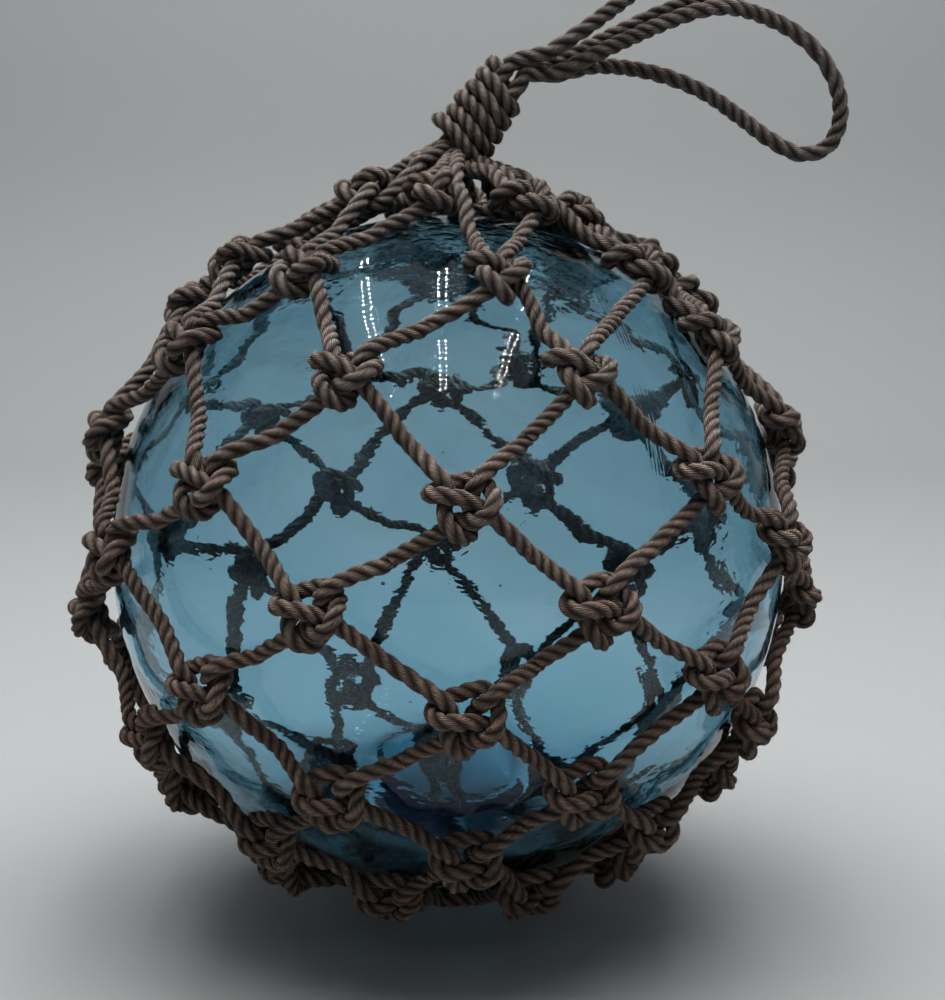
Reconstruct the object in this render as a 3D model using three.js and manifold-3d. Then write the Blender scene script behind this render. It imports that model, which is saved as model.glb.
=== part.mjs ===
// A blown-glass fishing float in a knotted rope net, standing on the rope ring that closes the net.
// Millimetres, +Z up. The origin is on the surface it stands on, straight below the ball's centre.
// Azimuth 0 is the front, which faces -Y, and azimuth grows towards +X. Polar angles start at the top.
import * as THREE from 'three'
import { mergeVertices } from 'three/addons/utils/BufferGeometryUtils.js'
import Module from 'manifold-3d'

// Driving dimensions

// The ball
const GLASS_R = 152
const GLASS_Z = 154
const GLASS_SIDES = 40
const GLASS_BANDS = 20

// The net's rope and its knots
const NET_ROPE_D = 7
const NET_ROPE_SIDE = NET_ROPE_D * Math.sqrt(Math.PI) / 2
const NET_SLACK = 3
const COLUMNS = 9
const SKIN_GAP = 0.5
const LEG_DIP = 1.4
const LEG_HALF_ANGLE = 15
const LEG_NARROWS_AT = 22
const KNOT_LONG = 15
const KNOT_HIGH = 13.5
const KNOT_TOP_SHARE = 0.76
const KNOT_SHOULDER = 11.5
const KNOT_THICK = 15
const KNOT_SIDES = 6

// Courses of knots from the top down. A course dips towards the front by "lean" degrees, and its
// columns crowd towards the back by "crowd" degrees, as a net does on a ball that has rolled in it.
const COURSES = [
  { polar: 35.4, lean: 1.8, first: 8, crowd: 15 },
  { polar: 47, lean: 9, first: 24, crowd: 0 },
  { polar: 67.8, lean: 5.7, first: 3.5, crowd: 0 },
  { polar: 79, lean: 10, first: 22.5, crowd: 0 },
  { polar: 95.5, lean: 7.5, first: 4, crowd: 0 },
  { polar: 109, lean: 9, first: 23, crowd: 0 },
  { polar: 128.7, lean: 2.2, first: 5, crowd: 0 },
  { polar: 147.5, lean: 0, first: 25, crowd: 0 },
]
const CROWD_FROM = 15

// The ring of rope under the ball, which the net's last legs come down to
const RING_R = 42
const RING_ROPE_R = 3.7
const RING_SEGMENTS = 20
const RING_FACES = 6
const LEG_END_R = 46.4

// The top course, drawn up off the glass round a centre that leans to the right
const CROWN_CENTRE = new THREE.Vector3(9, 0, 317)
const CROWN_R = 50
const CROWN_FIRST = 28
const CROWN_CROWD = 12
const CROWN_FALL = 5
const CROWN_LEG_D = 9
const CROWN_LEG_SIDES = 6
const CROWN_LEG_SHORT = 16
const BUNDLE_R = 13.5
const BUNDLE_FOOT_R = 10
const BUNDLE_DEPTH = 11
const BUNDLE_SIDES = 12

// The lashing wound round the drawn-up net
const LASH_BASE = new THREE.Vector3(7.5, 0, 338.5)
const LASH_LEAN = 38
const LASH_TURNS = 5
const LASH_PITCH = 6.8
const LASH_BASE_R = 16.2
const LASH_TOP_R = 12.4
const LASH_GROOVE = 1.9
const LASH_SIDES = 16
const MEET_GAP = 0.3

// The two hanging loops. Each is one rope that leaves the lashing and comes back into it.
const LOOP_ROPE_D = 7.6
const LOOP_SIDES = 8
const LOOP_STEP = 2 * LOOP_ROPE_D
const STRAND_SPACING = 8.4
const STRAND_STRAIGHT = 5
const LOW_LOOP_ROUTE = [
  [47, -4, 367], [63, -4.6, 374.4], [80, -5, 382.2], [97, -5, 389.4], [111, -4.6, 394],
  [124, -3.8, 395.2], [139, -2.6, 391.4], [155, -1.2, 383.2], [166.5, 0, 372], [173, 0.8, 358.5],
  [173.8, 1.8, 345.5], [168.6, 3, 335.4], [157.5, 4.4, 332.6], [144, 6, 339], [130, 7.4, 349.2],
  [115, 8.6, 359.4], [99, 9.6, 366.2], [82, 10.2, 370.2], [65, 10.4, 371.2], [49, 8.8, 367.6],
]
const HIGH_LOOP_ROUTE = [
  [44, -6.6, 376], [56, -7, 383.2], [70, -7, 393], [88, -6.4, 406.6], [109, -5, 423.6],
  [131, -3.2, 436.4], [152, -1.4, 439.6], [166, 0, 431], [168.6, 1, 418], [159, 2, 408.4],
  [143, 2.8, 404.4], [127, 3.2, 402], [110, 3.4, 398.6], [94, 3.4, 393.6], [77, 3.4, 386],
  [61, 3.6, 378.4], [47, 4, 372.6],
]

// Materials
const GLASS_COLOUR = 0x4f8fa3
const NET_COLOUR = 0x5d4a3f
const LOOP_COLOUR = 0x54473f

const wasm = await Module()
wasm.setup()

const radians = THREE.MathUtils.degToRad

function toSolid(geometry) {
  const bare = geometry.clone()
  bare.deleteAttribute('normal')
  bare.deleteAttribute('uv')
  const merged = mergeVertices(bare)
  return new wasm.Manifold(new wasm.Mesh({
    numProp: 3,
    vertProperties: new Float32Array(merged.attributes.position.array),
    triVerts: new Uint32Array(merged.index.array),
  }))
}

function toGeometry(solid) {
  const mesh = solid.getMesh()
  const geometry = new THREE.BufferGeometry()
  geometry.setAttribute('position', new THREE.BufferAttribute(mesh.vertProperties, 3))
  geometry.setIndex(new THREE.BufferAttribute(mesh.triVerts, 1))
  geometry.computeVertexNormals()
  return geometry
}

function joined(geometries) {
  let solid = null
  for (const geometry of geometries) {
    const next = toSolid(geometry)
    solid = solid ? solid.add(next) : next
  }
  return solid
}

// A unit vector from the ball's centre
function outward(azimuth, polar) {
  const a = radians(azimuth)
  const p = radians(polar)
  return new THREE.Vector3(Math.sin(p) * Math.sin(a), -Math.sin(p) * Math.cos(a), Math.cos(p))
}

const ballCentre = new THREE.Vector3(0, 0, GLASS_Z)

// How far off the glass the net hangs in a direction from the ball's centre
function slack(out) {
  return NET_SLACK * Math.max(0, -out.x) ** 2
}

// A rope's run along the ball, between two directions from its centre
class AlongBall extends THREE.Curve {
  constructor(from, to) {
    super()
    Object.assign(this, { from, to, angle: from.angleTo(to) })
  }
  getPoint(t) {
    const a = Math.sin((1 - t) * this.angle) / Math.sin(this.angle)
    const b = Math.sin(t * this.angle) / Math.sin(this.angle)
    const out = this.from.clone().multiplyScalar(a).addScaledVector(this.to, b)
    return out.multiplyScalar(LEG_R + slack(out)).add(ballCentre)
  }
}

function roundSection(radius, sides) {
  const shape = new THREE.Shape()
  for (let i = 0; i < sides; i++) {
    const turn = (2 * Math.PI * i) / sides
    const point = [radius * Math.cos(turn), radius * Math.sin(turn)]
    if (i === 0) shape.moveTo(...point)
    else shape.lineTo(...point)
  }
  shape.closePath()
  return shape
}

function rope(path, diameter, sides, steps) {
  return new THREE.ExtrudeGeometry(roundSection(diameter / 2, sides), {
    steps, bevelEnabled: false, extrudePath: path,
  })
}

// A knot is a six-sided lump, wider along the course than up it, narrowing away from the glass
function knot(centre, out) {
  const geometry = new THREE.CylinderGeometry(KNOT_TOP_SHARE, 1, KNOT_THICK, KNOT_SIDES, 1)
  geometry.rotateX(Math.PI / 2)
  geometry.scale(KNOT_LONG, KNOT_HIGH, 1)
  const along = new THREE.Vector3(0, 0, 1).cross(out).normalize()
  const up = out.clone().cross(along)
  geometry.applyMatrix4(new THREE.Matrix4().makeBasis(along, up, out))
  return geometry.translate(centre.x, centre.y, centre.z)
}

// Where knot number "column" of a course lies, as a direction from the ball's centre
function knotDirection(course, column) {
  const even = course.first + (column * 360) / COLUMNS
  const azimuth = even + course.crowd * Math.sin(radians(even + CROWD_FROM))
  return outward(azimuth, course.polar + course.lean * Math.cos(radians(azimuth)))
}

function crownKnot(column) {
  const even = CROWN_FIRST + (column * 360) / COLUMNS
  const azimuth = radians(even + CROWN_CROWD * Math.sin(radians(even + CROWN_CROWD)))
  return CROWN_CENTRE.clone().add(new THREE.Vector3(
    CROWN_R * Math.sin(azimuth), -CROWN_R * Math.cos(azimuth), -CROWN_FALL * Math.sin(azimuth)))
}

function crownDirection(column) {
  return crownKnot(column).sub(ballCentre).normalize()
}

// The columns that a knot's two lower legs go to, left and right
function lowerColumns(upperFirst, lowerFirst, column) {
  return lowerFirst > upperFirst ? [column - 1, column] : [column, column + 1]
}

function glassBall() {
  const profile = []
  for (let i = 0; i <= GLASS_BANDS; i++) {
    const up = Math.PI * (i / GLASS_BANDS - 0.5)
    const onAxis = i === 0 || i === GLASS_BANDS
    profile.push(new THREE.Vector2(onAxis ? 0 : GLASS_R * Math.cos(up), GLASS_R * Math.sin(up)))
  }
  const geometry = new THREE.LatheGeometry(profile, GLASS_SIDES)
  return geometry.rotateX(Math.PI / 2).translate(0, 0, GLASS_Z)
}

// The net is one closed surface. A knot is a lump with two corners, low and high, at each side of
// each of its legs, and a leg is a square tube that starts on four corners of one knot, narrows to
// the rope's size and ends on four corners of the next.
class NetSurface {
  constructor() {
    this.places = []
    this.faces = []
  }

  addPoint(point) {
    this.places.push(point.x, point.y, point.z)
    return this.places.length / 3 - 1
  }

  addQuad(a, b, c, d) {
    this.faces.push(a, b, c, a, c, d)
  }

  // Targets are directions from the ball's centre. Returns the four corners at each leg's start.
  addKnot(out, targets) {
    const east = new THREE.Vector3(0, 0, 1).cross(out).normalize()
    const north = out.clone().cross(east)
    const floor = GLASS_R + SKIN_GAP + slack(out)
    const corner = (turn, spread, height) => this.addPoint(out.clone()
      .multiplyScalar(floor + height)
      .addScaledVector(east, spread * KNOT_LONG * Math.cos(turn))
      .addScaledVector(north, spread * KNOT_HIGH * Math.sin(turn))
      .add(ballCentre))
    const legs = targets.map((target, place) => {
      return { place, turn: Math.atan2(target.dot(north), target.dot(east)) }
    })
    legs.sort((one, other) => one.turn - other.turn)
    const ring = []
    for (const leg of legs) {
      for (const side of [-1, 1]) {
        const turn = leg.turn + side * radians(LEG_HALF_ANGLE)
        ring.push({ low: corner(turn, 1, 0), high: corner(turn, KNOT_TOP_SHARE, KNOT_SHOULDER) })
      }
    }
    const top = corner(0, 0, KNOT_THICK)
    const starts = []
    ring.forEach((one, i) => {
      const next = ring[(i + 1) % ring.length]
      this.faces.push(top, one.high, next.high)
      if (i > 0 && i < ring.length - 1) this.faces.push(ring[0].low, next.low, one.low)
      if (i % 2 === 0) starts[legs[i / 2].place] = [next.low, one.low, one.high, next.high]
      else this.addQuad(one.low, next.low, next.high, one.high)
    })
    return starts
  }

  // A rope's square section where it crosses a direction from the ball's centre
  addSection(curve, t) {
    const centre = curve.getPoint(t)
    const out = centre.clone().sub(ballCentre).normalize()
    const left = out.clone().cross(curve.getTangent(t)).normalize()
    const half = NET_ROPE_SIDE / 2
    return [[1, -1], [-1, -1], [-1, 1], [1, 1]].map(([across, up]) => this.addPoint(
      centre.clone().addScaledVector(left, across * half).addScaledVector(out, up * half)))
  }

  addTube(sections) {
    for (let s = 0; s + 1 < sections.length; s++) {
      for (let i = 0; i < 4; i++) {
        const j = (i + 1) % 4
        this.addQuad(sections[s][j], sections[s][i], sections[s + 1][i], sections[s + 1][j])
      }
    }
  }

  geometry() {
    const geometry = new THREE.BufferGeometry()
    geometry.setAttribute('position', new THREE.Float32BufferAttribute(this.places, 3))
    geometry.setIndex(this.faces)
    geometry.computeVertexNormals()
    return geometry
  }
}

const LEG_R = GLASS_R + SKIN_GAP + LEG_DIP + NET_ROPE_SIDE / 2
const ringPolar = 180 - THREE.MathUtils.radToDeg(Math.asin(LEG_END_R / LEG_R))

// What a knot's four legs go towards: above left, above right, below left, below right. The first
// course's upper legs go up to the crown, and the last course's lower ones come down to the ring.
function legTargets(row, column) {
  const course = COURSES[row]
  const above = COURSES[row - 1]
  const below = COURSES[row + 1]
  const up = lowerColumns(course.first, above ? above.first : CROWN_FIRST, column)
    .map((next) => above ? knotDirection(above, next) : crownDirection(next))
  const down = below
    ? lowerColumns(course.first, below.first, column).map((next) => knotDirection(below, next))
    : [-1, 1].map((side) => outward(course.first + ((column + side / 4) * 360) / COLUMNS, ringPolar))
  return [...up, ...down]
}

// Four corners as they are seen from the leg's other end
function flipped([leftLow, rightLow, rightHigh, leftHigh]) {
  return [rightLow, leftLow, leftHigh, rightHigh]
}

function net() {
  const surface = new NetSurface()
  const starts = COURSES.map((course, row) => {
    return Array.from({ length: COLUMNS }, (_, column) => surface.addKnot(
      knotDirection(course, column), legTargets(row, column)))
  })
  const freeLeg = (start, curve, endAt) => {
    const narrow = LEG_NARROWS_AT / curve.getLength()
    const last = surface.addSection(curve, endAt)
    surface.addTube([start, surface.addSection(curve, narrow), last])
    surface.addQuad(...last.toReversed())
  }
  COURSES.forEach((course, row) => {
    for (let column = 0; column < COLUMNS; column++) {
      const from = knotDirection(course, column)
      const open = starts[row][column]
      if (row === 0) {
        lowerColumns(course.first, CROWN_FIRST, column).forEach((next, side) => {
          const start = from.clone().multiplyScalar(LEG_R + slack(from)).add(ballCentre)
          const curve = new THREE.LineCurve3(start, crownKnot(next))
          freeLeg(open[side], curve, 1 - CROWN_LEG_SHORT / curve.getLength())
        })
      }
      legTargets(row, column).slice(2).forEach((to, side) => {
        const curve = new AlongBall(from, to)
        if (row + 1 === COURSES.length) {
          freeLeg(open[2 + side], curve, 1)
          return
        }
        const narrow = LEG_NARROWS_AT / curve.getLength()
        const next = lowerColumns(course.first, COURSES[row + 1].first, column)[side]
        const end = starts[row + 1][(next + COLUMNS) % COLUMNS][1 - side]
        surface.addTube([open[2 + side], surface.addSection(curve, narrow),
          surface.addSection(curve, 1 - narrow), flipped(end)])
      })
    }
  })
  return surface.geometry()
}

function bottomRing() {
  const profile = []
  const flat = RING_ROPE_R * Math.cos(Math.PI / RING_FACES)
  for (let i = 0; i <= RING_FACES; i++) {
    const turn = (2 * Math.PI * (i % RING_FACES)) / RING_FACES
    profile.push(new THREE.Vector2(
      RING_R + RING_ROPE_R * Math.cos(turn), flat + RING_ROPE_R * Math.sin(turn)))
  }
  return new THREE.LatheGeometry(profile, RING_SEGMENTS).rotateX(Math.PI / 2)
}

const lashAxis = new THREE.Vector3(Math.sin(radians(LASH_LEAN)), 0, Math.cos(radians(LASH_LEAN)))
const lashUp = new THREE.Vector3(-lashAxis.z, 0, lashAxis.x)
const LASH_LENGTH = LASH_TURNS * LASH_PITCH
const CLEAR_R = LASH_BASE_R + 1

// Turns a shape that stands on +Z so that it stands on the lashing's axis
function onLashAxis(geometry, along) {
  const place = LASH_BASE.clone().addScaledVector(lashAxis, along)
  return geometry.rotateY(radians(LASH_LEAN)).translate(place.x, place.y, place.z)
}

function netCrown() {
  const bundle = new THREE.CylinderGeometry(BUNDLE_R, BUNDLE_FOOT_R, BUNDLE_DEPTH, BUNDLE_SIDES)
  const pieces = [onLashAxis(bundle.rotateX(Math.PI / 2), -MEET_GAP - BUNDLE_DEPTH / 2)]
  const gather = LASH_BASE.clone().addScaledVector(lashAxis, -BUNDLE_DEPTH / 2)
  for (let column = 0; column < COLUMNS; column++) {
    const centre = crownKnot(column)
    pieces.push(knot(centre, crownDirection(column)))
    pieces.push(rope(new THREE.LineCurve3(centre, gather), CROWN_LEG_D, CROWN_LEG_SIDES, 1))
  }
  const clear = new THREE.CylinderGeometry(CLEAR_R, CLEAR_R, LASH_LENGTH, BUNDLE_SIDES)
  const above = onLashAxis(clear.rotateX(Math.PI / 2), LASH_LENGTH / 2 - MEET_GAP)
  return toGeometry(joined(pieces).subtract(toSolid(above)))
}

function lashing() {
  const profile = [new THREE.Vector2(0, 0)]
  for (let turn = 0; turn < LASH_TURNS; turn++) {
    const low = turn * LASH_PITCH
    for (const [share, inset] of [[0.02, LASH_GROOVE], [0.3, 0], [0.7, 0], [0.98, LASH_GROOVE]]) {
      const height = low + share * LASH_PITCH
      const radius = THREE.MathUtils.lerp(LASH_BASE_R, LASH_TOP_R, height / LASH_LENGTH)
      if (share !== 0.02 || turn === 0) profile.push(new THREE.Vector2(radius - inset, height))
    }
  }
  profile.push(new THREE.Vector2(0, LASH_LENGTH))
  profile[1].y = 0
  profile[profile.length - 2].y = LASH_LENGTH
  const geometry = new THREE.LatheGeometry(profile, LASH_SIDES)
  return onLashAxis(geometry.rotateX(Math.PI / 2), 0)
}

// A strand's place in the lashing's top face. up: +1 upper, -1 lower. back: +1 behind, -1 in front.
function strandEnd(up, back, along) {
  return LASH_BASE.clone()
    .addScaledVector(lashAxis, LASH_LENGTH + MEET_GAP + along)
    .addScaledVector(lashUp, (up * STRAND_SPACING) / 2)
    .add(new THREE.Vector3(0, (back * STRAND_SPACING) / 2, 0))
}

function hangingLoop(route, up) {
  const points = [strandEnd(up, -1, 0), strandEnd(up, -1, STRAND_STRAIGHT)]
  for (const place of route) points.push(new THREE.Vector3(...place))
  points.push(strandEnd(up, 1, STRAND_STRAIGHT), strandEnd(up, 1, 0))
  const path = new THREE.CatmullRomCurve3(points, false, 'centripetal')
  const steps = Math.round(path.getLength() / LOOP_STEP)
  return rope(path, LOOP_ROPE_D, LOOP_SIDES, steps)
}

const glass = new THREE.MeshStandardMaterial({
  color: GLASS_COLOUR, roughness: 0.05, metalness: 0, transparent: true, opacity: 0.4,
})
const netRope = new THREE.MeshStandardMaterial({ color: NET_COLOUR, roughness: 0.95, metalness: 0 })
const loopRope = new THREE.MeshStandardMaterial({ color: LOOP_COLOUR, roughness: 0.95, metalness: 0 })

const group = new THREE.Group()

function addPart(name, geometry, material) {
  const mesh = new THREE.Mesh(geometry, material)
  mesh.name = name
  group.add(mesh)
}

addPart('glass_ball', glassBall(), glass)
addPart('net', net(), netRope)
addPart('net_crown', netCrown(), netRope)
addPart('bottom_ring', bottomRing(), netRope)
addPart('lashing', lashing(), netRope)
addPart('hanging_loop_low', hangingLoop(LOW_LOOP_ROUTE, -1), loopRope)
addPart('hanging_loop_high', hangingLoop(HIGH_LOOP_ROUTE, 1), loopRope)

export default group
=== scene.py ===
import math

import bmesh
import bpy
import numpy as np
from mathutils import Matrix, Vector


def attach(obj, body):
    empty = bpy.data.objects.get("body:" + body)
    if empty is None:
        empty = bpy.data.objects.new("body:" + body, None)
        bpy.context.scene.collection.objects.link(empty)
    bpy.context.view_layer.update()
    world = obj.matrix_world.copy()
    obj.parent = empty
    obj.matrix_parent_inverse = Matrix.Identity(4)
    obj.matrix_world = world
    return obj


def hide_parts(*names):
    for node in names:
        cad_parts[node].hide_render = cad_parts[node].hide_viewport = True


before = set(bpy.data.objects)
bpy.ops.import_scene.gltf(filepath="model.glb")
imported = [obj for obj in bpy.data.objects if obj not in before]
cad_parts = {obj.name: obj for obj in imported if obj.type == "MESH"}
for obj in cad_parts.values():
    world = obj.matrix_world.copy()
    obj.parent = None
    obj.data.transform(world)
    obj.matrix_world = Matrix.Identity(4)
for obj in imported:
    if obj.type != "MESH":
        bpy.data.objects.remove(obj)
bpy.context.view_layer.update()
scene = bpy.context.scene


# The viewpoint: a little above the float's middle, close in front of it, looking slightly down.
camera_data = bpy.data.cameras.new("camera")
camera_data.lens = 64.8
camera_data.sensor_width = 36
camera_data.sensor_fit = "AUTO"
camera = bpy.data.objects.new("camera", camera_data)
camera.location = (0.011, -0.814, 0.310)
camera.rotation_euler = (math.radians(90 - 9.3), 0, 0)
scene.collection.objects.link(camera)
scene.camera = camera


# The two hanging loops: three-strand hemp rope, laid right-handed and gone stiff and grey-brown
# with age. Each is one rope that comes out of the lashing and goes back into it.
LOOP_ROPE = 0.0076
LOOP_LAY = 0.021
STRAND_SPACING = 0.0084
STRAND_STRAIGHT = 0.005
LASH_BASE = np.array([0.0075, 0, 0.3385])
LASH_LEAN = math.radians(38)
LASH_LENGTH = 0.034
MEET_GAP = 0.0003
TUCKED = 0.010
LOW_LOOP_ROUTE = [
    (47, -4, 367), (63, -4.6, 374.4), (80, -5, 382.2), (97, -5, 389.4), (111, -4.6, 394),
    (124, -3.8, 395.2), (139, -2.6, 391.4), (155, -1.2, 383.2), (166.5, 0, 372), (173, 0.8, 358.5),
    (173.8, 1.8, 345.5), (168.6, 3, 335.4), (157.5, 4.4, 332.6), (144, 6, 339), (130, 7.4, 349.2),
    (115, 8.6, 359.4), (99, 9.6, 366.2), (82, 10.2, 370.2), (65, 10.4, 371.2), (49, 8.8, 367.6),
]
HIGH_LOOP_ROUTE = [
    (44, -6.6, 376), (56, -7, 383.2), (70, -7, 393), (88, -6.4, 406.6), (109, -5, 423.6),
    (131, -3.2, 436.4), (152, -1.4, 439.6), (166, 0, 431), (168.6, 1, 418), (159, 2, 408.4),
    (143, 2.8, 404.4), (127, 3.2, 402), (110, 3.4, 398.6), (94, 3.4, 393.6), (77, 3.4, 386),
    (61, 3.6, 378.4), (47, 4, 372.6),
]
lash_axis = np.array([math.sin(LASH_LEAN), 0, math.cos(LASH_LEAN)])
lash_up = np.array([-lash_axis[2], 0, lash_axis[0]])


def linear(hex_colour):
    """An sRGB hex colour as linear red, green, blue and alpha."""
    values = [int(hex_colour[i:i + 2], 16) / 255 for i in (1, 3, 5)]
    return [v / 12.92 if v <= 0.04045 else ((v + 0.055) / 1.055) ** 2.4 for v in values] + [1]


def add(tree, kind, settings=None, inputs=None):
    """A shader node with its settings, and its inputs as values or as other nodes' outputs."""
    node = tree.nodes.new("ShaderNode" + kind)
    for name, value in (settings or {}).items():
        setattr(node, name, value)
    for socket, value in (inputs or {}).items():
        if isinstance(value, bpy.types.NodeSocket):
            tree.links.new(value, node.inputs[socket])
        else:
            node.inputs[socket].default_value = value
    return node


def evened(line, spacing):
    """The line again, with its points one spacing apart."""
    along = np.r_[0, np.cumsum(np.linalg.norm(np.diff(line, axis=0), axis=1))]
    wanted = np.linspace(0, along[-1], max(2, round(along[-1] / spacing) + 1))
    return np.stack([np.interp(wanted, along, line[:, k]) for k in range(3)], axis=1)


def smooth_line(points, spacing, pieces=24):
    """A centripetal Catmull-Rom line through the points."""
    p = np.asarray(points, float)
    p = np.vstack([2 * p[0] - p[1], p, 2 * p[-1] - p[-2]])
    x0, x1, x2, x3 = p[:-3], p[1:-2], p[2:-1], p[3:]
    a, b, c = (np.sqrt(np.linalg.norm(v, axis=1, keepdims=True)) for v in (x1 - x0, x2 - x1, x3 - x2))
    leaving = ((x1 - x0) / a - (x2 - x0) / (a + b) + (x2 - x1) / b) * b
    coming = ((x2 - x1) / b - (x3 - x1) / (b + c) + (x3 - x2) / c) * b
    t = np.linspace(0, 1, pieces, endpoint=False)[:, None, None]
    line = (x1 + leaving * t + (-3 * x1 + 3 * x2 - 2 * leaving - coming) * t ** 2
            + (2 * x1 - 2 * x2 + leaving + coming) * t ** 3)
    line = np.vstack([line.transpose(1, 0, 2).reshape(-1, 3), p[-2:-1]])
    return evened(line, spacing)


def side_vectors(line):
    """A vector square to the line at each point, which turns with it and doesn't twist round it."""
    tangents = np.gradient(line, axis=0)
    tangents /= np.linalg.norm(tangents, axis=1, keepdims=True)
    places, ways = [Vector(p) for p in line], [Vector(t) for t in tangents]
    side = ways[0].orthogonal().normalized()
    sides = [side]
    for here, there, way, next_way in zip(places, places[1:], ways, ways[1:]):
        step = there - here
        half = side - step * (2 * step.dot(side) / step.length_squared)
        turned = way - step * (2 * step.dot(way) / step.length_squared)
        gap = next_way - turned
        side = half - gap * (2 * gap.dot(half) / max(gap.length_squared, 1e-18))
        side = (side - next_way * side.dot(next_way)).normalized()
        sides.append(side)
    return np.array(sides), tangents


STRANDS = 3
AROUND_STRAND = (0, 0.12, 0.32, 0.5, 0.68, 0.88)
FIBRE_SPACING = 0.0022
FIBRE_REACH = 0.3
FIBRE_ROOT, FIBRE_MIDDLE = 0.00012, 0.00009
FLOOR_GAP = 0.0004


def stray_fibres(line, sides, thirds, tangents, radius, reach):
    """Broken fibre ends that stand off the rope, one every 2 mm or so, as thin three-sided spikes."""
    luck = np.random.default_rng(len(line))
    count = int(np.linalg.norm(np.diff(line, axis=0), axis=1).sum() / FIBRE_SPACING)
    at = luck.integers(2, len(line) - 2, count)
    turn = luck.uniform(0, 2 * math.pi, (count, 1))
    out = np.cos(turn) * sides[at] + np.sin(turn) * thirds[at]
    beside = np.cross(tangents[at], out)
    way = (out * luck.uniform(0.2, 0.8, (count, 1)) + beside * luck.uniform(-0.6, 0.6, (count, 1))
           + tangents[at] * luck.choice([-1, 1], (count, 1)) * luck.uniform(0.4, 1, (count, 1)))
    way *= reach * luck.uniform(0.5, 1, (count, 1)) / np.linalg.norm(way, axis=1, keepdims=True)
    root = line[at] + out * radius * 0.85
    middle = root + way * 0.5 + out * reach * 0.12
    tip = root + way
    clear = np.minimum(middle[:, 2], tip[:, 2]) > FLOOR_GAP
    root, middle, tip, out, beside = (part[clear] for part in (root, middle, tip, out, beside))
    rounds = []
    for place, thick in ((root, FIBRE_ROOT), (middle, FIBRE_MIDDLE)):
        for corner in range(3):
            a = 2 * math.pi * corner / 3
            rounds.append(place + thick * (math.cos(a) * out + math.sin(a) * beside))
    points = np.stack(rounds + [tip], axis=1).reshape(-1, 3)
    faces = []
    for first in range(0, len(points), 7):
        faces.append([first, first + 2, first + 1])
        for k in range(3):
            after = (k + 1) % 3
            faces.append([first + k, first + after, first + 3 + after, first + 3 + k])
            faces.append([first + 3 + k, first + 3 + after, first + 6])
    return points, faces


def laid_rope(name, line, diameter, lay, material, closes=False):
    """A mesh of three-strand rope along the line, whose strands wind right-handed once in each lay."""
    sides, tangents = side_vectors(line)
    thirds = np.cross(tangents, sides)
    along = np.r_[0, np.cumsum(np.linalg.norm(np.diff(line, axis=0), axis=1))]
    shares = np.array([(strand + part) / STRANDS for strand in range(STRANDS) for part in AROUND_STRAND])
    off_crest = np.radians([(part - 0.5) * 120 for part in AROUND_STRAND] * STRANDS)
    radii = diameter / 2 * (0.40 * np.cos(off_crest) + np.sqrt(0.60 ** 2 - (0.40 * np.sin(off_crest)) ** 2))
    # The lay is tighter and slacker by turns, over stretches of about 170 mm and 61 mm
    share = along / along[-1]
    drift = 0.22 * np.sin(2 * math.pi * round(along[-1] / 0.17) * share + 1.3 * along[-1] / lay)
    drift += 0.10 * np.sin(2 * math.pi * round(along[-1] / 0.061) * share + 2.9 * along[-1] / lay)
    twist = 2 * math.pi * (along / lay + drift)
    if closes:
        end, start = sides[-1], sides[0]
        behind = math.atan2(float(np.cross(end, start) @ tangents[0]), float(end @ start))
        step = 2 * math.pi / STRANDS
        spare = (behind - twist[-1]) - step * round((behind - twist[-1]) / step)
        twist = twist + spare * along / along[-1]
    angles = 2 * math.pi * shares[None] + twist[:, None]
    rings = line[:, None] + radii[None, :, None] * (
        np.cos(angles)[..., None] * sides[:, None] + np.sin(angles)[..., None] * thirds[:, None])
    count, around = len(line), len(shares)
    i, j = np.meshgrid(np.arange(count - 1), np.arange(around), indexing="ij")
    after = (j + 1) % around
    quads = np.stack([i * around + j, i * around + after, (i + 1) * around + after, (i + 1) * around + j],
                     axis=-1)
    mesh = bpy.data.meshes.new(name)
    faces = quads.reshape(-1, 4).tolist()
    if not closes:
        faces += [list(range(around))[::-1], list(range((count - 1) * around, count * around))]
    fibre_points, fibre_faces = stray_fibres(line, sides, thirds, tangents, diameter / 2,
                                              FIBRE_REACH * diameter)
    fibre_faces = [[corner + count * around for corner in face] for face in fibre_faces]
    mesh.from_pydata(np.vstack([rings.reshape(-1, 3), fibre_points]).tolist(), [], faces + fibre_faces)
    edges = np.append(shares, 1.0)
    u = np.stack([edges[j], edges[j + 1], edges[j + 1], edges[j]], axis=-1)
    v = 100 * np.stack([along[i], along[i], along[i + 1], along[i + 1]], axis=-1)
    uv = np.stack([u, v], axis=-1).reshape(-1, 2)
    if not closes:
        uv = np.vstack([uv, np.zeros((2 * around, 2))])
    uv = np.vstack([uv, np.tile([0.5 / STRANDS, 0], (sum(map(len, fibre_faces)), 1))])
    mesh.uv_layers.new(name="rope_lay").data.foreach_set("uv", uv.ravel())
    mesh.shade_smooth()
    mesh.materials.append(material)
    piece = bpy.data.objects.new(name, mesh)
    scene.collection.objects.link(piece)
    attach(piece, "root")
    return piece


# Below the first height the rope has its browner colour, above the second its own colour
BROWNER_BELOW, GREYER_ABOVE = 0.08, 0.28


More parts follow.
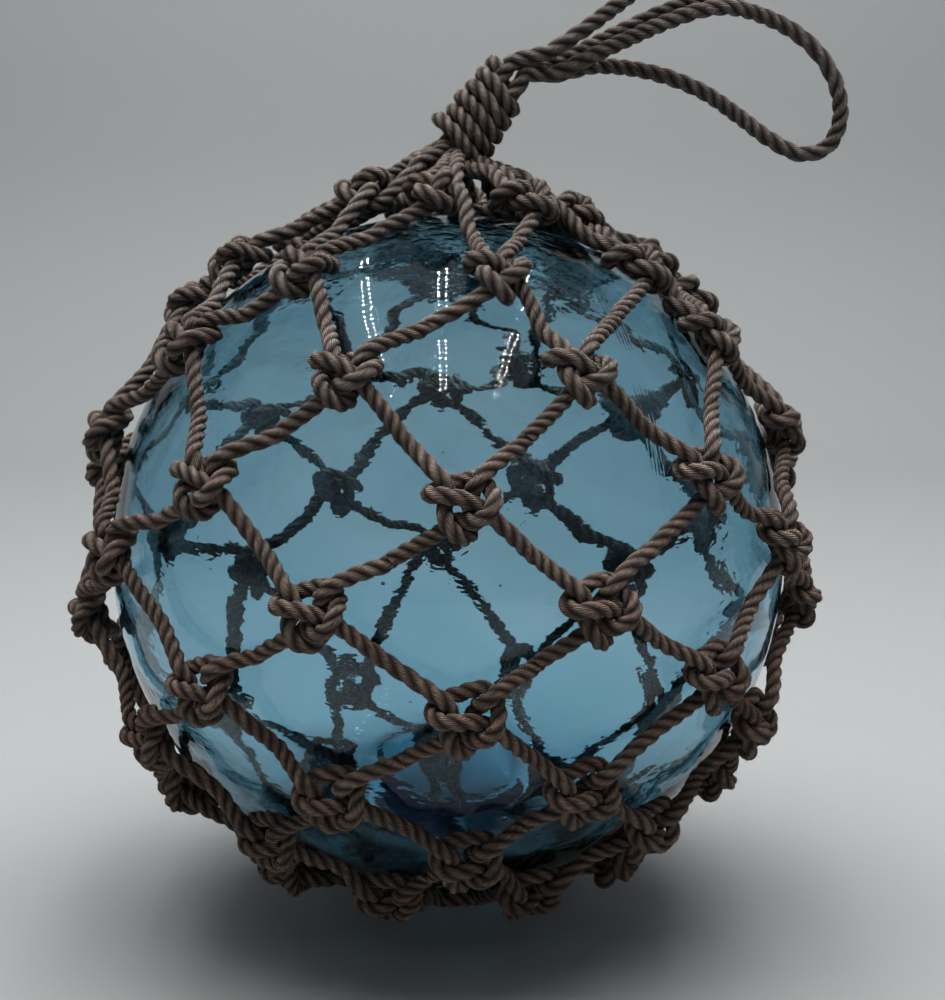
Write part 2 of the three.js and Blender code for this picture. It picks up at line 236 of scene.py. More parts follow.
def aged_laid_hemp(name, crest_colour, low_colour, shade_and_stain, lay):
    """Hemp yarns laid up untarred, then darkened by tar, water and years of handling: dull and fibrous,
    paler on the strands' crests, with painted shade that turns it nearly black in the grooves where they
    meet, and browner low down. Yarns show about 1 mm wide, coarser than real ones, so that they can be seen."""
    material = bpy.data.materials.new(name)
    material.use_nodes = True
    tree = material.node_tree
    tree.nodes.clear()
    lay_map = add(tree, "UVMap", {"uv_map": "rope_lay"})
    split = add(tree, "SeparateXYZ", {}, {0: lay_map.outputs[0]})
    across = add(tree, "Math", {"operation": "MULTIPLY"}, {0: split.outputs[0], 1: STRANDS})
    share = add(tree, "Math", {"operation": "FRACT"}, {0: across.outputs[0]})
    off_middle = add(tree, "Math", {"operation": "SUBTRACT"}, {0: share.outputs[0], 1: 0.5})
    sunk = add(tree, "Math", {"operation": "ABSOLUTE"}, {0: off_middle.outputs[0]})
    # Yarns round the rope: too fine in the real one, so fewer and thicker here
    yarns = 24
    round_yarns = add(tree, "Math", {"operation": "MULTIPLY"}, {0: split.outputs[0], 1: yarns})
    yarn = add(tree, "Math", {"operation": "MULTIPLY_ADD"},
               {0: split.outputs[1], 1: yarns / (100 * lay), 2: round_yarns.outputs[0]})
    turned = add(tree, "Math", {"operation": "MULTIPLY"}, {0: yarn.outputs[0], 1: math.pi})
    wave = add(tree, "Math", {"operation": "SINE"}, {0: turned.outputs[0]})
    rounded = add(tree, "Math", {"operation": "ABSOLUTE"}, {0: wave.outputs[0]})
    lengthwise = add(tree, "Math", {"operation": "MULTIPLY"}, {0: split.outputs[1], 1: 2})
    fibre_place = add(tree, "CombineXYZ", {}, {0: yarn.outputs[0], 1: lengthwise.outputs[0]})
    fibres = add(tree, "TexNoise", {}, {"Vector": fibre_place.outputs[0], "Scale": 1.5, "Detail": 3,
                                        "Roughness": 0.7})
    # Stains are some 36 mm across and worn spots some 6 mm
    place = add(tree, "TexCoord")
    stains = add(tree, "TexNoise", {}, {"Vector": place.outputs["Object"], "Scale": 28, "Detail": 2,
                                        "Roughness": 0.6})
    wear = add(tree, "TexNoise", {}, {"Vector": place.outputs["Object"], "Scale": 160, "Detail": 2,
                                      "Roughness": 0.6})
    # Painted shade: the rope turns nearly black towards the grooves where the strands meet; fibres and worn
    # spots darken it in places too
    shade = add(tree, "MapRange", {}, {"Value": sunk.outputs[0], "From Min": 0.08, "From Max": 0.43,
                                       "To Min": 1, "To Max": 0})
    fibre_shade = add(tree, "MapRange", {}, {"Value": fibres.outputs["Fac"], "From Min": 0.32,
                                             "From Max": 0.64, "To Min": 0.1, "To Max": 1})
    lit = add(tree, "Math", {"operation": "MULTIPLY"}, {0: shade.outputs[0], 1: fibre_shade.outputs[0]})
    wear_shade = add(tree, "MapRange", {}, {"Value": wear.outputs["Fac"], "From Min": 0.35,
                                            "From Max": 0.65, "To Min": 0.6, "To Max": 1})
    kept = add(tree, "Math", {"operation": "MULTIPLY"}, {0: lit.outputs[0], 1: wear_shade.outputs[0]})
    # The rope is browner towards the bottom
    upright = add(tree, "SeparateXYZ", {}, {0: place.outputs["Object"]})
    height_share = add(tree, "MapRange", {}, {"Value": upright.outputs[2], "From Min": BROWNER_BELOW,
                                     "From Max": GREYER_ABOVE, "To Min": 0, "To Max": 1})
    yarns_colour = add(tree, "Mix", {"data_type": "RGBA"},
                       {0: height_share.outputs[0], 6: linear(low_colour), 7: linear(crest_colour)})
    # Mixes the rope's own colour with the dark colour, which is the painted shade in the grooves and also the
    # stains' colour
    colour = add(tree, "Mix", {"data_type": "RGBA"},
                 {0: kept.outputs[0], 6: linear(shade_and_stain), 7: yarns_colour.outputs[2]})
    stain_shade = add(tree, "MapRange", {}, {"Value": stains.outputs["Fac"], "From Min": 0.4,
                                             "From Max": 0.75, "To Min": 0, "To Max": 0.55})
    stained = add(tree, "Mix", {"data_type": "RGBA"},
                  {0: stain_shade.outputs[0], 6: colour.outputs[2], 7: linear(shade_and_stain)})
    height = add(tree, "Math", {"operation": "MULTIPLY_ADD"},
                 {0: fibres.outputs["Fac"], 1: 0.8, 2: rounded.outputs[0]})
    bump = add(tree, "Bump", {}, {"Strength": 1.0, "Distance": 0.0006, "Height": height.outputs[0]})
    shader = add(tree, "BsdfPrincipled", {}, {"Base Color": stained.outputs[2], "Roughness": 0.88,
                                              "Sheen Weight": 0.12, "Sheen Roughness": 0.5,
                                              "Specular IOR Level": 0.25, "Normal": bump.outputs[0]})
    add(tree, "OutputMaterial", {}, {"Surface": shader.outputs[0]})
    return material


# Colours: the rope's own on the crests, a browner one low down, and a dark one for the painted groove shade
# and the stains
loop_hemp = aged_laid_hemp("aged_laid_hemp_loops", "#b3a89f", "#bb9b85", "#281b15", LOOP_LAY)


def strand_end(up, back, along):
    """Where a loop's rope leaves the lashing: up 1 or -1, back 1 behind or -1 in front."""
    return (LASH_BASE + lash_axis * (LASH_LENGTH + MEET_GAP + along)
            + lash_up * up * STRAND_SPACING / 2 + np.array([0, back * STRAND_SPACING / 2, 0]))


def hanging_loop(node, route, up):
    points = [strand_end(up, -1, along) for along in (-TUCKED, 0, STRAND_STRAIGHT)]
    points += [np.array(place) / 1000 for place in route]
    points += [strand_end(up, 1, along) for along in (STRAND_STRAIGHT, 0, -TUCKED)]
    line = smooth_line(points, 0.0015)
    rope = laid_rope(node + "_rope", line, LOOP_ROPE, LOOP_LAY, loop_hemp)
    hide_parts(node)


hanging_loop("hanging_loop_low", LOW_LOOP_ROUTE, -1)
hanging_loop("hanging_loop_high", HIGH_LOOP_ROUTE, 1)


# The net: one hemp twine for each course, worked round the ball in a zigzag and tied to the course
# above with sheet bends, the knot every fishing net is made with. It hangs on the glass by its own
# weight, a little slack on the left.
GLASS_RADIUS = 0.152
GLASS_CENTRE = np.array([0, 0, 0.154])
NET_ROPE = 0.007
NET_LAY = 0.018
NET_LIFT = 0.0005
NET_SLACK = 0.003
COLUMNS = 9
# Each course of knots from the top: polar angle, lean to the front, first azimuth, crowding to the back
COURSES = [
    (35.4, 1.8, 8, 15), (47, 9, 24, 0), (67.8, 5.7, 3.5, 0), (79, 10, 22.5, 0),
    (95.5, 7.5, 4, 0), (109, 9, 23, 0), (128.7, 2.2, 5, 0), (147.5, 0, 25, 0),
]
CROWD_FROM = 15
CROWN_CENTRE = np.array([0.009, 0, 0.317])
CROWN_RADIUS = 0.050
CROWN_FALL = 0.005
CROWN_FIRST = 28
CROWN_CROWD = 12
RING_POLAR = 162.8
chance = np.random.default_rng(7)


def outward(azimuth, polar):
    a, p = math.radians(azimuth), math.radians(polar)
    return np.array([math.sin(p) * math.sin(a), -math.sin(p) * math.cos(a), math.cos(p)])


def knot_way(course, column):
    polar, lean, first, crowd = COURSES[course]
    even = first + 360 / COLUMNS * column
    azimuth = even + crowd * math.sin(math.radians(even + CROWD_FROM))
    return outward(azimuth, polar + lean * math.cos(math.radians(azimuth)))


def on_glass(way):
    """Where the middle of a rope lies that goes over the glass in this direction."""
    way = way / np.linalg.norm(way)
    lift = NET_LIFT + NET_SLACK * max(0, -way[0]) ** 2
    return GLASS_CENTRE + way * (GLASS_RADIUS + lift + NET_ROPE / 2)


def crown_knot(column):
    even = CROWN_FIRST + 360 / COLUMNS * column
    a = math.radians(even + CROWN_CROWD * math.sin(math.radians(even + CROWN_CROWD)))
    return CROWN_CENTRE + np.array([CROWN_RADIUS * math.sin(a), -CROWN_RADIUS * math.cos(a),
                                    -CROWN_FALL * math.sin(a)])


def below(upper_first, lower_first, column):
    """The columns of the course below that a knot's left and right legs go down to."""
    return (column - 1, column) if lower_first > upper_first else (column, column + 1)


def leg(start, end, bows):
    """Half a leg, from near its knot to its middle: over the glass if it bows, or straight."""
    near = 3.4 * NET_ROPE / np.linalg.norm(end - start)
    points = [start + (end - start) * t for t in np.linspace(near, 0.5, 4)]
    return [on_glass(point - GLASS_CENTRE) for point in points] if bows else points


# A sheet bend in rope diameters, across, up and off the glass: the bight of the upper course, and
# the working rope that comes up through it, round its neck and under itself
BIGHT = [(-1.6, 1.8, 0), (-1.0, 0.6, 0), (-0.95, -0.6, 0), (0, -1.5, 0), (0.95, -0.6, 0), (1.0, 0.6, 0),
         (1.6, 1.8, 0)]
WORKING = [(-1.8, -2.0, -0.6), (-0.5, -1.3, -1.0), (0, -0.4, 0.2), (0.1, 0.4, 1.9), (0.6, 1.3, 1.3),
           (1.9, 1.6, 0), (1.2, 1.7, -1.0), (-1.2, 1.5, -1.0), (-2.0, 1.0, 0), (-1.2, 0.45, 1.0),
           (0, 0.3, 1.0), (1.2, -0.1, 1.0), (2.2, -1.4, 0.3)]
BIGHT_POINTS = 38
WORKING_POINTS = 54


def in_count(points, count):
    fine = smooth_line(points, 0.0005)
    return evened(fine, np.linalg.norm(np.diff(fine, axis=0), axis=1).sum() / (count - 1))[:count]


def loose_knot(centre, way, legs):
    """The knot's two ropes before they are drawn tight. The legs: up left and right, down left and right."""
    east = np.cross([0, 0, 1], way)
    east /= np.linalg.norm(east)
    north = np.cross(way, east)
    turn = math.radians(chance.uniform(6, 26))
    size = NET_ROPE * chance.uniform(1.0, 1.12)
    across = math.cos(turn) * east + math.sin(turn) * north
    up = math.cos(turn) * north - math.sin(turn) * east
    placed = [[centre + size * (x * across + y * up + (z + 1) * way) for x, y, z in rope]
              for rope in (BIGHT, WORKING)]
    up_left, up_right, down_left, down_right = legs
    return np.vstack([in_count(up_left[::-1] + placed[0] + up_right, BIGHT_POINTS),
                      in_count(down_left[::-1] + placed[1] + down_right, WORKING_POINTS)])


knots, centres, ways = [], [], []
for column in range(COLUMNS):
    centre = crown_knot(column)
    way = (centre - GLASS_CENTRE) / np.linalg.norm(centre - GLASS_CENTRE)
    inward = LASH_BASE - 0.006 * lash_axis
    left, right = below(CROWN_FIRST, COURSES[0][2], column)
    beside = np.cross(way, inward - centre)
    beside *= 0.006 / np.linalg.norm(beside)
    legs = [leg(centre, inward + beside, False), leg(centre, inward - beside, False)]
    legs += [leg(centre, on_glass(knot_way(0, c)), False) for c in (left, right)]
    settle = 0.0055 * min(1.3, 1 + (centre[1] - CROWN_CENTRE[1]) / CROWN_RADIUS)
    centre = centre - (1.5 * NET_ROPE + settle) * way
    knots.append(loose_knot(centre, way, legs))
    centres.append(centre + 0.6 * NET_ROPE * way)
    ways.append(way)
for row, course in enumerate(COURSES):
    for column in range(COLUMNS):
        way = knot_way(row, column)
        centre = on_glass(way)
        legs = []
        if row == 0:
            legs += [leg(centre, crown_knot(c), False) for c in below(course[2], CROWN_FIRST, column)]
        else:
            legs += [leg(centre, on_glass(knot_way(row - 1, c)), True)
                     for c in below(course[2], COURSES[row - 1][2], column)]
        if row + 1 < len(COURSES):
            legs += [leg(centre, on_glass(knot_way(row + 1, c)), True)
                     for c in below(course[2], COURSES[row + 1][2], column)]
        else:
            feet = [course[2] + (column + side / 4) * 360 / COLUMNS for side in (-1, 1)]
            legs += [leg(centre, on_glass(outward(azimuth, RING_POLAR)), True) for azimuth in feet]
        knots.append(loose_knot(centre, way, legs))
        centres.append(centre)
        ways.append(way)


def drawn_tight(points, centres, ways, rounds=200):
    """Draws the knots tight: each rope shortens like a pulled string, and keeps its thickness from
    the other rope, from itself and from the glass. A knot is pressed to two and a half ropes thick."""
    total = BIGHT_POINTS + WORKING_POINTS
    rope_of = np.arange(total) >= BIGHT_POINTS
    number = np.arange(total)
    held = np.isin(number, [0, 1, BIGHT_POINTS - 2, BIGHT_POINTS - 1, BIGHT_POINTS, BIGHT_POINTS + 1,
                            total - 2, total - 1])
    inner = np.r_[6:BIGHT_POINTS - 6, BIGHT_POINTS + 6:total - 6]
    can_touch = ((rope_of[:, None] != rope_of[None]) | (abs(number[:, None] - number[None]) >= 4))
    can_touch = can_touch[np.ix_(inner, inner)]
    glass = GLASS_CENTRE.astype(np.float32)
    points, start = points.astype(np.float32), points.astype(np.float32)
    for turn in range(rounds):
        pulled = points.copy()
        for first, last in ((0, BIGHT_POINTS), (BIGHT_POINTS, total)):
            rope = points[:, first:last]
            pulled[:, first + 1:last - 1] += 0.35 * ((rope[:, :-2] + rope[:, 2:]) / 2 - rope[:, 1:-1])
        points = pulled
        for _ in range(2):
            near = points[:, inner]
            apart = near[:, :, None] - near[:, None]
            distance = np.sqrt((apart ** 2).sum(-1)) + 1e-9
            short = np.where(can_touch & (distance < 0.98 * NET_ROPE), 0.98 * NET_ROPE - distance, 0)
            push = (apart * (short / distance)[..., None]).sum(2) * 0.5
            touching = (short > 0).sum(2)[..., None]
            points[:, inner] += push / np.maximum(touching * 0.6, 1)
        off = points - glass
        radius = np.linalg.norm(off, axis=2, keepdims=True)
        off /= radius
        least = GLASS_RADIUS + NET_LIFT + NET_ROPE / 2 + NET_SLACK * np.clip(-off[..., :1], 0, None) ** 2
        points = np.where(radius < least, glass + off * least, points)
        height = ((points - centres[:, None]) * ways[:, None]).sum(-1, keepdims=True)
        most = NET_ROPE * (1.5 + 2 * max(0, 1 - turn / (0.6 * rounds)))
        points += np.minimum(most - height, 0) * ways[:, None] * 0.5
        points[:, held] = start[:, held]
    return points.astype(float)


tight = drawn_tight(np.array(knots), np.array(centres, np.float32), np.array(ways, np.float32))
bights = tight[:, :BIGHT_POINTS].reshape(-1, COLUMNS, BIGHT_POINTS, 3)
workings = tight[:, BIGHT_POINTS:].reshape(-1, COLUMNS, WORKING_POINTS, 3)

# Colours: the rope's own on the crests, a browner one low down, and a dark one for the painted groove shade
# and the stains
net_hemp = aged_laid_hemp("aged_laid_hemp_net", "#b9aba0", "#bb9b85", "#2a1b13", NET_LAY)
firsts = [CROWN_FIRST] + [course[2] for course in COURSES]
for row in range(len(COURSES)):
    route = []
    for column in range(COLUMNS):
        right = below(firsts[row], firsts[row + 1], column)[1]
        route += [workings[row][column][:-1], bights[row + 1][right % COLUMNS][:-1]]
    route.append(route[0][:1])
    twine = laid_rope(f"net_twine_{row + 1}", smooth_line(np.vstack(route), 0.0015, 4), NET_ROPE, NET_LAY,
                      net_hemp, closes=True)
    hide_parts("net")


# The foot of the net: the last course's legs come down to a ring of the same rope, which closes the
# net under the ball. The float stands on it.
RING_RADIUS = 0.042
RING_BESIDE = 0.0494
BESIDE_HEIGHT = 0.0039
RING_POINTS = 177
route = []
for column in range(COLUMNS):
    azimuth = COURSES[-1][2] + (column + np.array([0.25, 0.42, 0.58, 0.75])) * 360 / COLUMNS
    route.append(workings[-1][column][:-1])
    for turn in np.radians(azimuth):
        route.append(np.array([[RING_BESIDE * math.sin(turn), -RING_BESIDE * math.cos(turn), BESIDE_HEIGHT]]))
route.append(route[0][:1])
foot = laid_rope("net_twine_9", smooth_line(np.vstack(route), 0.0015, 6), NET_ROPE, NET_LAY, net_hemp,
                 closes=True)
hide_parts("net")
turns = np.linspace(0, 2 * math.pi, RING_POINTS)
ring_line = np.stack([RING_RADIUS * np.sin(turns), -RING_RADIUS * np.cos(turns), 0 * turns + NET_ROPE / 2],
                     axis=1)
ring = laid_rope("bottom_ring_rope", ring_line, NET_ROPE, NET_LAY, net_hemp, closes=True)
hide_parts("bottom_ring")


# The crown: the top course's bights, whose legs are gathered from all sides into one bundle and go
# up into the lashing. A left leg comes in wider and lower than the right one.
GATHER_LEFT = (0.0085, 0.009)
GATHER_RIGHT = (0.0045, 0.004)
for column in range(COLUMNS):
    bight = bights[0][column]
    ends = []
    for end, (spread, depth) in ((bight[0], GATHER_LEFT), (bight[-1], GATHER_RIGHT)):
        out = end - LASH_BASE
        out -= lash_axis * (out @ lash_axis)
        out /= np.linalg.norm(out)
        ends.append([LASH_BASE - lash_axis * depth + out * spread,
                     LASH_BASE + lash_axis * 0.002 + out * spread * 0.7,
                     LASH_BASE + lash_axis * 0.012 + out * spread * 0.6])
    route = smooth_line(ends[0][::-1] + list(bight) + ends[1], 0.0015, 8)
    gathered = laid_rope(f"crown_bight_{column + 1}", route, NET_ROPE, NET_LAY, net_hemp)
    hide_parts("net_crown")


# The lashing: a length of the same rope wound five times round the gathered legs, square to them,
# its turns pulled up unevenly so that they stand out on the left, where they also ride higher.
LASH_TURNS = 5
LASH_BASE_RADIUS = 0.0140
LASH_TOP_RADIUS = 0.0108
LASH_FOOT = -0.007
LASH_TILT = 0.0038
LASH_ASIDE = 0.0012
LASH_STANDS_OUT = 0.0030
LASH_TUCK = 0.004
route = []
bulge = chance.uniform(0, 1, 8)
for turn in np.linspace(-0.3, LASH_TURNS + 0.1, 330):
    angle = 2 * math.pi * turn
    share = np.clip(turn / LASH_TURNS, 0, 1)
    radius = LASH_BASE_RADIUS + (LASH_TOP_RADIUS - LASH_BASE_RADIUS) * share - NET_ROPE / 2
    leftness = max(0, math.cos(angle)) ** 2.5
    radius += leftness * LASH_STANDS_OUT * (1 + bulge[int(turn + 0.8)])
    if turn < 0 or turn > LASH_TURNS:
        radius -= LASH_TUCK * min(1, 8 * max(-turn, turn - LASH_TURNS))
    height = LASH_FOOT + NET_ROPE / 2 + (LASH_LENGTH - LASH_FOOT - NET_ROPE) * share
    height += LASH_TILT * math.cos(angle)
    route.append(LASH_BASE + lash_axis * height - lash_up * LASH_ASIDE
                 + radius * (math.cos(angle) * lash_up + math.sin(angle) * np.array([0, -1, 0])))
lashing = laid_rope("lashing_rope", smooth_line(route, 0.0014, 3), NET_ROPE, NET_LAY, net_hemp)
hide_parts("lashing")


# The ball: a bubble of aqua glass blown about 5 mm thick and sealed with a gob of the same glass,
# which has settled as a thick round pad inside the bottom. It is wavy from being turned on the pipe.
WALL = 0.005
GLASS_SIDES = 256
FINE_STEP, COARSE_STEP, FINE_DOWN_TO = math.radians(0.6), math.radians(1.5), math.radians(55)
SEAL_WAY = outward(180, 158)
PAD_RADIUS = 0.041
PAD_THICKNESS = 0.008
SEEDS = 46


def waves(ways, polar, count, across, down, seed):
    """Smooth random waves on the ball from -1 to 1. Across and down are how many go round it."""
    luck = np.random.default_rng(seed)
    total = np.zeros(ways.shape[:-1])
    for _ in range(count):
        way = luck.normal(size=3)
        way *= across * luck.uniform(0.5, 1.2) / np.linalg.norm(way)
        total += np.sin(ways @ way + luck.choice([-1, 1]) * down * luck.uniform(0.5, 1.2) * polar
                        + luck.uniform(0, 2 * math.pi))
    return total / math.sqrt(count)


polar = np.r_[np.arange(0, FINE_DOWN_TO, FINE_STEP), np.arange(FINE_DOWN_TO, math.pi, COARSE_STEP)][1:]
around = np.linspace(0, 2 * math.pi, GLASS_SIDES, endpoint=False)
polar, around = np.meshgrid(polar, around, indexing="ij")
ball_ways = np.stack([np.sin(polar) * np.sin(around), -np.sin(polar) * np.cos(around), np.cos(polar)],
                     axis=-1)
near_top = np.clip((math.radians(75) - polar) / math.radians(45), 0, 1)
ripple = waves(ball_ways, polar, 14, 9, 55, 3) * (0.000006 + 0.00003 * near_top)
swell = waves(ball_ways, polar, 14, 16, 14, 4) * 0.00010
outer_radius = GLASS_RADIUS + ripple + swell
from_seal = GLASS_RADIUS * np.arccos(np.clip(ball_ways @ SEAL_WAY, -1, 1))
pad = 1 / (1 + np.exp((from_seal - PAD_RADIUS) / 0.0012))
# Two raised rings in the pad, where the gob was pressed down
rim = np.exp(-((from_seal - 0.036) / 0.0025) ** 2) + 0.7 * np.exp(-((from_seal - 0.010) / 0.0015) ** 2)
inner_ripple = waves(ball_ways, polar, 14, 12, 60, 5) * (0.00001 + 0.00004 * near_top)
inner_ripple += waves(ball_ways, polar, 20, 50, 20, 8) * 0.00006
inner_swell = waves(ball_ways, polar, 14, 12, 12, 6) * 0.00035
base = 0.0070 * np.exp(-(from_seal / 0.085) ** 2)
inner_radius = GLASS_RADIUS - WALL + inner_ripple + inner_swell - base - PAD_THICKNESS * pad - 0.0008 * rim


def ball_surface(radius, inside):
    """The points and faces of one skin of the glass, closed at both poles, facing into the glass's air."""
    rows, columns = radius.shape
    points = GLASS_CENTRE + ball_ways * radius[..., None]
    points = np.vstack([points.reshape(-1, 3), GLASS_CENTRE + [0, 0, radius[0].mean()],
                        GLASS_CENTRE - [0, 0, radius[-1].mean()]])
    i, j = np.meshgrid(np.arange(rows - 1), np.arange(columns), indexing="ij")
    after = (j + 1) % columns
    quads = np.stack([i * columns + j, (i + 1) * columns + j, (i + 1) * columns + after, i * columns + after],
                     axis=-1)
    faces = quads.reshape(-1, 4).tolist()
    top, bottom = rows * columns, rows * columns + 1
    last = (rows - 1) * columns
    faces += [[top, k, (k + 1) % columns] for k in range(columns)]
    faces += [[bottom, last + (k + 1) % columns, last + k] for k in range(columns)]
    if inside:
        faces = [face[::-1] for face in faces]
    return points, faces


outer_points, outer_faces = ball_surface(outer_radius, False)
inner_points, inner_faces = ball_surface(inner_radius, True)
faces = outer_faces + [[corner + len(outer_points) for corner in face] for face in inner_faces]
ball_points = [outer_points, inner_points]
start = len(outer_points) + len(inner_points)
builder = bmesh.new()
bmesh.ops.create_icosphere(builder, subdivisions=2, radius=1)
seed_points = np.array([vertex.co[:] for vertex in builder.verts])
seed_faces = [[vertex.index for vertex in face.verts][::-1] for face in builder.faces]
builder.free()
for _ in range(SEEDS):
    way = chance.normal(size=3)
    way /= np.linalg.norm(way)
    size = 0.0004 + 0.0012 * chance.random() ** 3
    spot = GLASS_CENTRE + way * (GLASS_RADIUS - WALL / 2 + chance.uniform(-0.4, 0.4) * (WALL / 2 - size))
    ball_points.append(spot + seed_points * size * np.array([1, 1, 0.8]))
    faces += [[corner + start for corner in face] for face in seed_faces]
    start += len(seed_points)
mesh = bpy.data.meshes.new("glass_float")
mesh.from_pydata(np.vstack(ball_points).tolist(), [], faces)
mesh.shade_smooth()


# The folds where the gather was turned: three fine creases side by side, down the front right.
FOLD_WAY = outward(116, 93)
FOLD_AT = 0.135
FOLD_GAP = 0.011


def blown_aqua_glass():
    """Soda-lime glass, blue-green from its iron, fire-polished as it was blown: clear, sharp
    highlights, and a fine waviness that breaks up whatever is seen through it or in it."""
    material = bpy.data.materials.new("blown_aqua_glass")
    material.use_nodes = True
    tree = material.node_tree
    tree.nodes.clear()
    # Each skin has waves some 5 mm apart, stronger near the top and on the inside
    place = add(tree, "TexCoord")
    centred = add(tree, "VectorMath", {"operation": "SUBTRACT"},
                  {0: place.outputs["Object"], 1: GLASS_CENTRE.tolist()})
    way = add(tree, "VectorMath", {"operation": "NORMALIZE"}, {0: centred.outputs[0]})
    split = add(tree, "SeparateXYZ", {}, {0: way.outputs[0]})
    drawn_place = add(tree, "VectorMath", {"operation": "MULTIPLY"}, {0: centred.outputs[0], 1: (1, 1, 1.8)})
    drawn = add(tree, "TexNoise", {}, {"Vector": drawn_place.outputs[0], "Scale": 1 / 0.0055, "Detail": 1.5,
                                       "Roughness": 0.5})
    patches = add(tree, "TexNoise", {}, {"Vector": way.outputs[0], "Scale": 3.5, "Detail": 1})
    patchy = add(tree, "MapRange", {}, {"Value": patches.outputs["Fac"], "From Min": 0.42, "From Max": 0.62,
                                        "To Min": 0.35, "To Max": 1.3})
    near_pole = add(tree, "MapRange", {}, {"Value": split.outputs[2], "From Min": 0.72, "From Max": 0.93,
                                           "To Min": 1, "To Max": 5})
    from_middle = add(tree, "VectorMath", {"operation": "LENGTH"}, {0: centred.outputs[0]})
    skin = add(tree, "MapRange", {}, {"Value": from_middle.outputs["Value"],
                                      "From Min": GLASS_RADIUS - 0.0025, "From Max": GLASS_RADIUS - 0.0015,
                                      "To Min": 1.35, "To Max": 0.4})
    waved = add(tree, "Math", {"operation": "MULTIPLY"}, {0: patchy.outputs[0], 1: near_pole.outputs[0]})
    strength = add(tree, "Math", {"operation": "MULTIPLY"}, {0: waved.outputs[0], 1: skin.outputs[0]})
    height = add(tree, "Math", {"operation": "MULTIPLY"},
                 {0: drawn.outputs["Fac"], 1: strength.outputs[0]})
    beside_fold = add(tree, "VectorMath", {"operation": "DOT_PRODUCT"},
                      {0: way.outputs[0], 1: FOLD_WAY.tolist()})
    folds = add(tree, "MapRange", {"clamp": False},
                {"Value": beside_fold.outputs["Value"], "From Min": FOLD_AT,
                 "From Max": FOLD_AT + 3 * FOLD_GAP, "To Min": 0, "To Max": 3})
    fold = add(tree, "Math", {"operation": "FRACT"}, {0: folds.outputs[0]})
    off_fold = add(tree, "Math", {"operation": "SUBTRACT"}, {0: fold.outputs[0], 1: 0.5})
    from_fold = add(tree, "Math", {"operation": "ABSOLUTE"}, {0: off_fold.outputs[0]})
    crease = add(tree, "MapRange", {"interpolation_type": "SMOOTHSTEP"},
                 {"Value": from_fold.outputs[0], "From Min": 0, "From Max": 0.3, "To Min": 1, "To Max": 0})
    off_middle = add(tree, "Math", {"operation": "SUBTRACT"}, {0: folds.outputs[0], 1: 1.5})
    aside = add(tree, "Math", {"operation": "ABSOLUTE"}, {0: off_middle.outputs[0]})
    in_folds = add(tree, "Math", {"operation": "LESS_THAN"}, {0: aside.outputs[0], 1: 1.5})
    in_front = add(tree, "MapRange", {}, {"Value": split.outputs[1], "From Min": -0.1, "From Max": -0.3,
                                          "To Min": 0, "To Max": 1})
    above = add(tree, "MapRange", {}, {"Value": split.outputs[2], "From Min": 0.2, "From Max": 0.45,
                                       "To Min": 0, "To Max": 1})
    creased = add(tree, "Math", {"operation": "MULTIPLY"}, {0: crease.outputs[0], 1: in_folds.outputs[0]})
    kept_front = add(tree, "Math", {"operation": "MULTIPLY"}, {0: creased.outputs[0], 1: in_front.outputs[0]})
    kept_above = add(tree, "Math", {"operation": "MULTIPLY"}, {0: kept_front.outputs[0], 1: above.outputs[0]})
    all_height = add(tree, "Math", {"operation": "MULTIPLY_ADD"},
                     {0: kept_above.outputs[0], 1: 0.22, 2: height.outputs[0]})
    bump = add(tree, "Bump", {}, {"Strength": 1, "Distance": 0.00005, "Height": all_height.outputs[0]})
    shader = add(tree, "BsdfPrincipled", {}, {"Base Color": linear("#f6fbfd"), "Roughness": 0.01, "IOR": 1.5,
                                              "Transmission Weight": 1, "Normal": bump.outputs[0]})
    body = add(tree, "VolumeAbsorption", {}, {"Color": linear("#6ecde2"), "Density": 120})
    add(tree, "OutputMaterial", {}, {"Surface": shader.outputs[0], "Volume": body.outputs[0]})
    return material


mesh.materials.append(blown_aqua_glass())
ball = bpy.data.objects.new("glass_float", mesh)
scene.collection.objects.link(ball)
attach(ball, "root")
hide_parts("glass_ball")


# The setting: a pale floor that sweeps up into a plain grey backdrop, lit softly from overhead, with
# six rows of small bulbs whose images sparkle on the glass. The soft lamp itself doesn't show in it.
SWEEP = [(-1.6, 0), (1.1, 0), (1.4, 0.05), (1.6, 0.25), (1.65, 0.6), (1.65, 2.6)]
sweep_line = smooth_line([(0, y, z) for y, z in SWEEP], 0.05)
sweep_points = [(x, y, z - 0.0002) for _, y, z in sweep_line for x in (-3, 3)]
sweep_faces = [(2 * k, 2 * k + 1, 2 * k + 3, 2 * k + 2) for k in range(len(sweep_line) - 1)]
sweep_mesh = bpy.data.meshes.new("sweep")
sweep_mesh.from_pydata(sweep_points, [], sweep_faces)
sweep_mesh.shade_smooth()
paper = bpy.data.materials.new("matt_paper_sweep")
paper.use_nodes = True
paper.node_tree.nodes["Principled BSDF"].inputs["Base Color"].default_value = linear("#989b9c")
paper.node_tree.nodes["Principled BSDF"].inputs["Roughness"].default_value = 0.7
sweep_mesh.materials.append(paper)
sweep = bpy.data.objects.new("sweep", sweep_mesh)
scene.collection.objects.link(sweep)

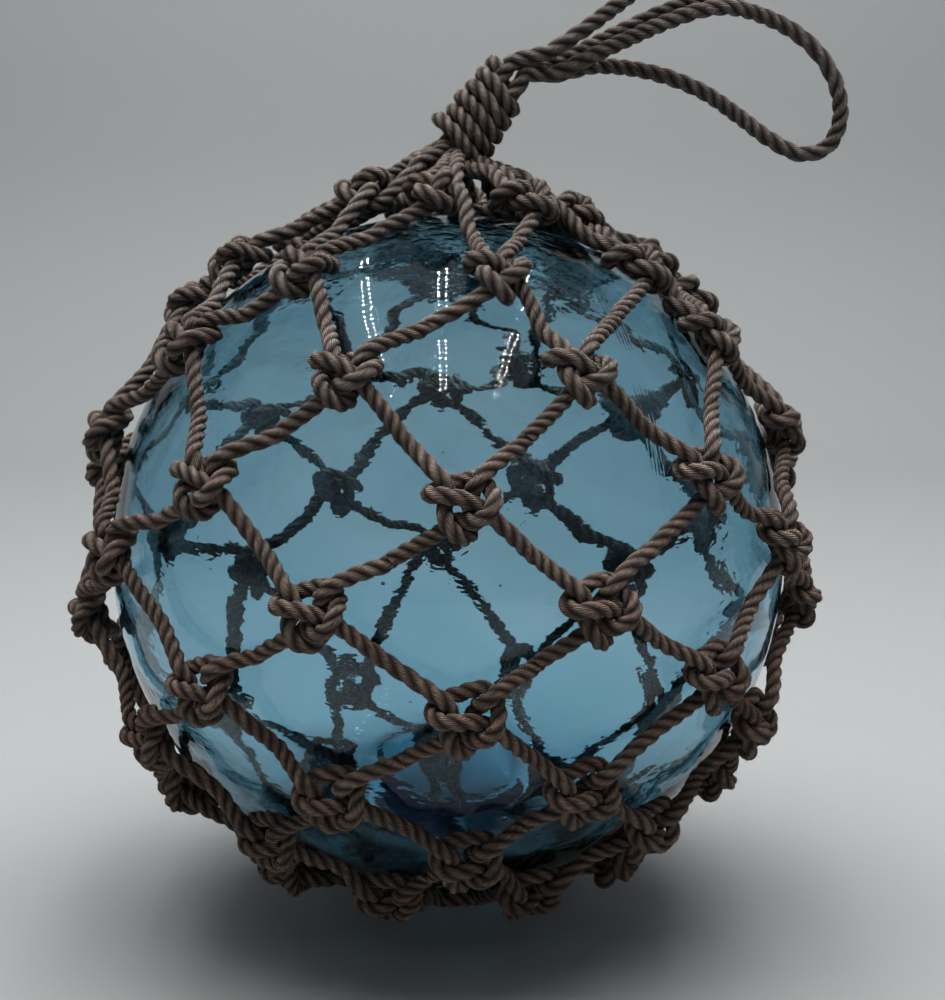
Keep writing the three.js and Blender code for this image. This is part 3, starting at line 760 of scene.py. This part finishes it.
world = bpy.data.worlds.new("soft_room")
world.use_nodes = True
sky = world.node_tree
facing = add(sky, "TexCoord")
height = add(sky, "SeparateXYZ", {}, {0: facing.outputs["Generated"]})
brightness = add(sky, "MapRange", {}, {"Value": height.outputs[2], "From Min": 0, "From Max": 1,
                                       "To Min": 0.08, "To Max": 0.3})
sky.links.new(brightness.outputs[0], sky.nodes["Background"].inputs["Strength"])
sky.nodes["Background"].inputs["Color"].default_value = linear("#f4f6f8")
scene.world = world


def lamp(name, place, aim, size, power, colour):
    data = bpy.data.lights.new(name, "AREA")
    data.shape = "RECTANGLE"
    data.size, data.size_y = size
    data.energy = power
    data.color = linear(colour)[:3]
    light = bpy.data.objects.new(name, data)
    light.location = place
    light.rotation_euler = (Vector(aim) - Vector(place)).to_track_quat("-Z", "Y").to_euler()
    scene.collection.objects.link(light)
    return light


# Each bulb row is one long narrow lamp, lit in short even stretches
BULBS = 36
BULB_ROWS = (-0.46, -0.42, -0.05, -0.01, 0.36, 0.40)
overhead = lamp("overhead", (0, 0.12, 1.9), (0, 0.2, 0), (2.1, 1.7), 54, "#ffffff")
overhead.data.spread = math.radians(165)
overhead.visible_glossy = False
overhead.visible_transmission = False
for place in BULB_ROWS:
    row = lamp("bulb_row", (place, 0.1, 1.45), (place, 0.1, 0), (0.008, 1.7), 3.2, "#fffcf8")
    row.data.use_nodes = True
    bulbs = row.data.node_tree
    across = add(bulbs, "NewGeometry")
    along = add(bulbs, "SeparateXYZ", {}, {0: across.outputs["Parametric"]})
    spaced = add(bulbs, "Math", {"operation": "MULTIPLY"}, {0: along.outputs[1], 1: BULBS})
    within = add(bulbs, "Math", {"operation": "FRACT"}, {0: spaced.outputs[0]})
    lit = add(bulbs, "Math", {"operation": "LESS_THAN"}, {0: within.outputs[0], 1: 0.2})
    bright = add(bulbs, "Math", {"operation": "MULTIPLY"}, {0: lit.outputs[0], 1: 2.5})
    bulbs.links.new(bright.outputs[0], bulbs.nodes["Emission"].inputs["Strength"])
scene.view_settings.view_transform = "Standard"
